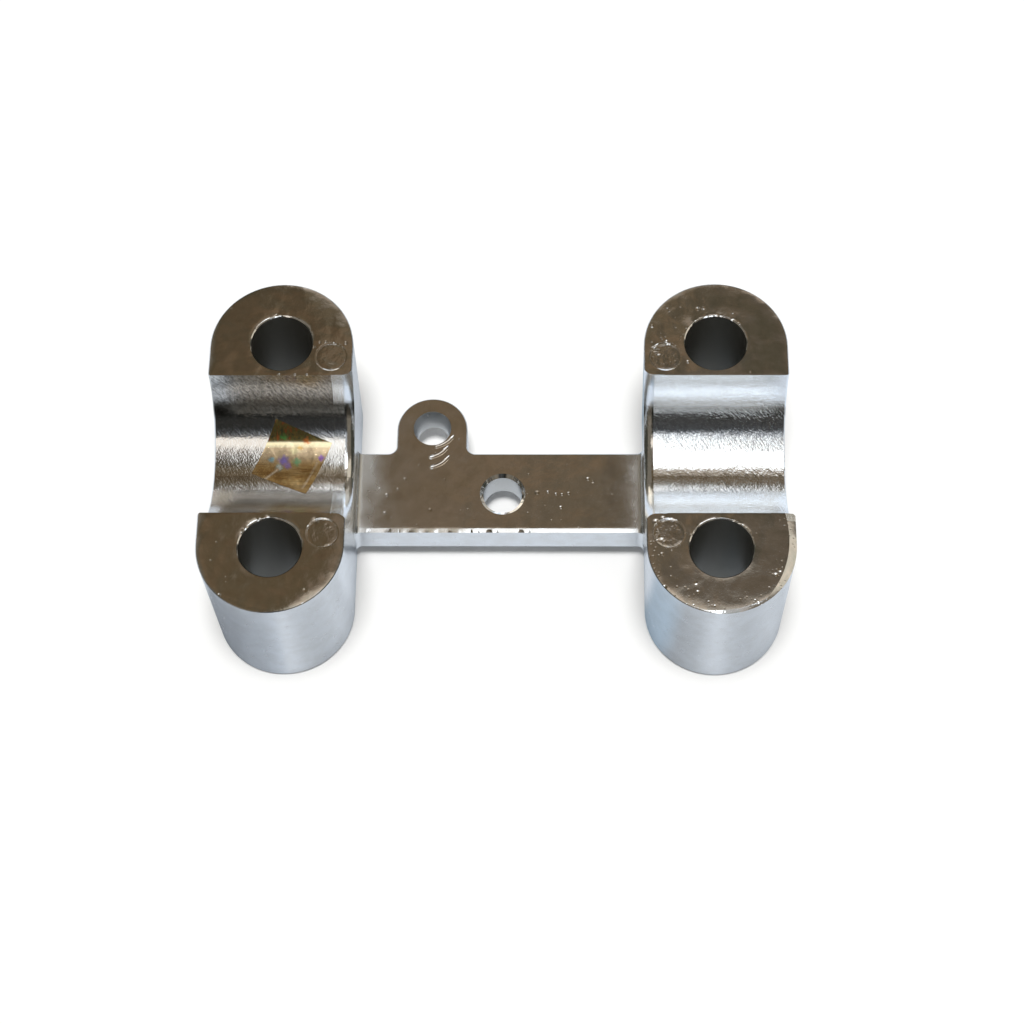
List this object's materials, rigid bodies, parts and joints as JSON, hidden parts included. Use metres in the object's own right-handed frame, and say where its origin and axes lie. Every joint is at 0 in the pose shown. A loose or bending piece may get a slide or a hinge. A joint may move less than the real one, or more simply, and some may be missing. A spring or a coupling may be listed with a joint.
{
  "type": "handlebar clamp",
  "caption": "Upper half of a motorcycle handlebar clamp: saddle blocks with half-round grooves and bolt holes, joined by a flat web with a pierced ear.",
  "frame": {"origin": "on the outer faces that the casting lies on, midway between the blocks along the handlebar and midway between the bolt rows", "axes": "+X along the handlebar, +Y towards the side with the ear, +Z out of the clamping faces"},
  "size_m": [0.0844, 0.053, 0.024],
  "materials": {
    "chrome": "bright electroplated chrome over a die casting, mirror-like on the flat faces and satin with cast texture on the walls and in the grooves",
    "foil": "glossy gold foil with a faint rainbow sheen"
  },
  "bodies": {
    "root": {"clamp_casting": "chrome", "foil_sticker": "foil"}
  },
  "joints": []
}
